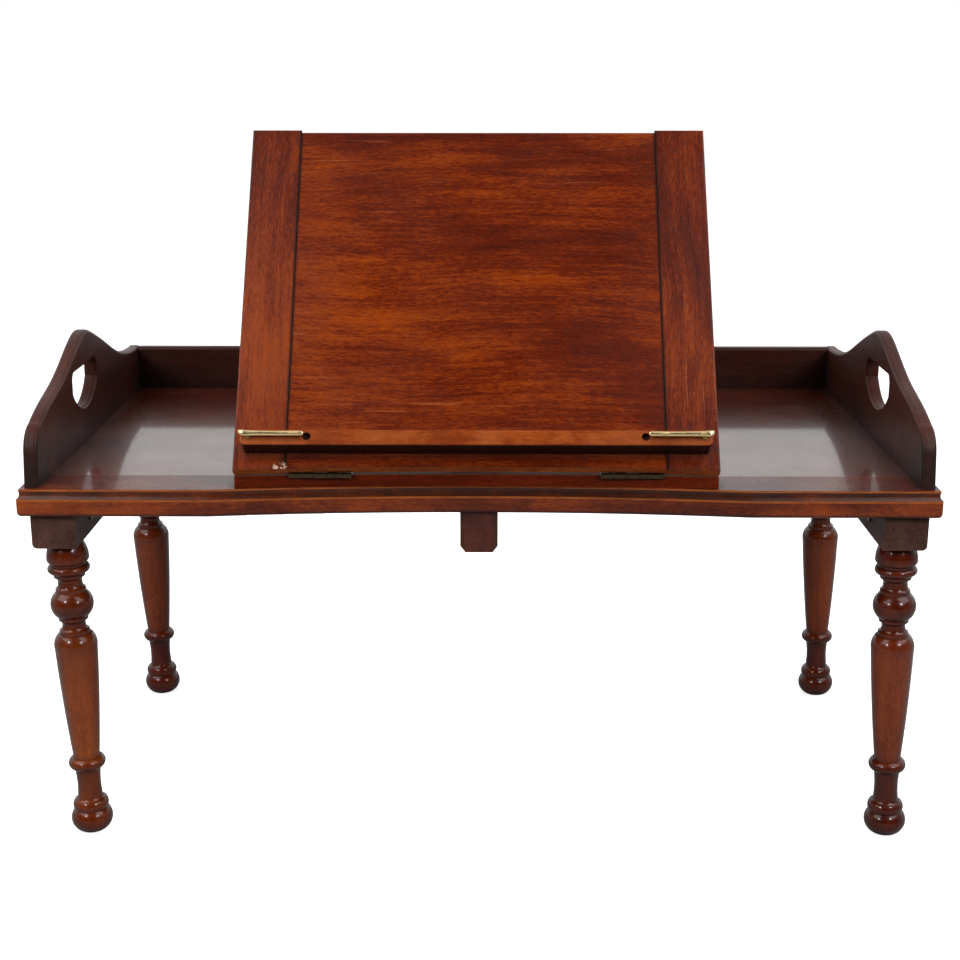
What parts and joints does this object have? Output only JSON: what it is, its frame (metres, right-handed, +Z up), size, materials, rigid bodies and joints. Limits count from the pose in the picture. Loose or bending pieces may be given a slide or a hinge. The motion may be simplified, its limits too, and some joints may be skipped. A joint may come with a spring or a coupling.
{
  "type": "bed tray",
  "caption": "Wooden tray on folding turned legs, with a shaped gallery, hand holes and a hinged reading slope with page clips and a strut.",
  "frame": {"origin": "on the floor under the middle of the part's bounding box", "axes": "+X to the right of the person sitting at it, +Y to the back gallery, +Z up"},
  "size_m": [0.725, 0.4086, 0.5716],
  "materials": {
    "tray_mahogany": "dark French-polished mahogany",
    "slope_mahogany": "warm French-polished mahogany",
    "hinge_brass": "dark aged brass",
    "clip_brass": "worn polished brass",
    "screw_steel": "dulled steel"
  },
  "bodies": {
    "tray": {"base_screws": "screw_steel", "bearer_screws": "screw_steel", "centre_bearer": "tray_mahogany", "gallery_back": "tray_mahogany", "gallery_left": "tray_mahogany", "gallery_right": "tray_mahogany", "leghinge_leaves_tray_left": "hinge_brass", "leghinge_leaves_tray_right": "hinge_brass", "leghinge_pins_left": "hinge_brass", "leghinge_pins_right": "hinge_brass", "leghinge_screws_tray_left": "screw_steel", "leghinge_screws_tray_right": "screw_steel", "ratchet_strip": "tray_mahogany", "slope_base": "slope_mahogany", "slopehinge_leaves_base": "hinge_brass", "slopehinge_pins": "hinge_brass", "slopehinge_screws_base": "screw_steel", "tray_board_centre": "tray_mahogany", "tray_board_left": "tray_mahogany", "tray_board_right": "tray_mahogany", "tray_front_rail": "tray_mahogany"},
    "legs_left": {"leg_left_back": "tray_mahogany", "leg_left_front": "tray_mahogany", "leghinge_leaves_rail_left": "hinge_brass", "leghinge_screws_rail_left": "screw_steel", "legrail_left": "tray_mahogany"},
    "legs_right": {"leg_right_back": "tray_mahogany", "leg_right_front": "tray_mahogany", "leghinge_leaves_rail_right": "hinge_brass", "leghinge_screws_rail_right": "screw_steel", "legrail_right": "tray_mahogany"},
    "reading_slope": {"slope_panel": "slope_mahogany", "slope_cleat_left": "slope_mahogany", "slope_cleat_right": "slope_mahogany", "slope_ledge": "slope_mahogany", "slopehinge_leaves_board": "hinge_brass", "slopehinge_screws_board": "screw_steel", "slope_strut_pin": "screw_steel", "clip_collars": "clip_brass"},
    "strut": {"slope_strut": "slope_mahogany"},
    "clip_left": {"page_clip_left": "clip_brass"},
    "clip_right": {"page_clip_right": "clip_brass"}
  },
  "joints": [
    {"name": "legs_left_fold", "type": "hinge", "parent": "tray", "child": "legs_left", "pos_m": [-0.3171, 0, 0.2814], "axis": [0, -1, 0], "range_deg": [0, 87]},
    {"name": "legs_right_fold", "type": "hinge", "parent": "tray", "child": "legs_right", "pos_m": [0.3171, 0, 0.2814], "axis": [0, 1, 0], "range_deg": [0, 87]},
    {"name": "slope_tilt", "type": "hinge", "parent": "tray", "child": "reading_slope", "pos_m": [-0.002, -0.18773, 0.3164], "axis": [1, 0, 0], "range_deg": [-54.3, 0]},
    {"name": "strut_swing", "type": "hinge", "parent": "reading_slope", "child": "strut", "pos_m": [-0.002, -0.11455, 0.4239], "axis": [1, 0, 0], "range_deg": [0, 98.6]},
    {"name": "clip_left_swing", "type": "hinge", "parent": "reading_slope", "child": "clip_left", "pos_m": [-0.178, -0.20218, 0.35387], "axis": [0, -0.8121, 0.5835], "range_deg": [0, 90]},
    {"name": "clip_right_swing", "type": "hinge", "parent": "reading_slope", "child": "clip_right", "pos_m": [0.174, -0.20218, 0.35387], "axis": [0, 0.8121, -0.5835], "range_deg": [0, 90]}
  ],
  "couplings": [
    {"joint": "strut_swing", "follows": "slope_tilt", "ratio": -1.814}
  ]
}
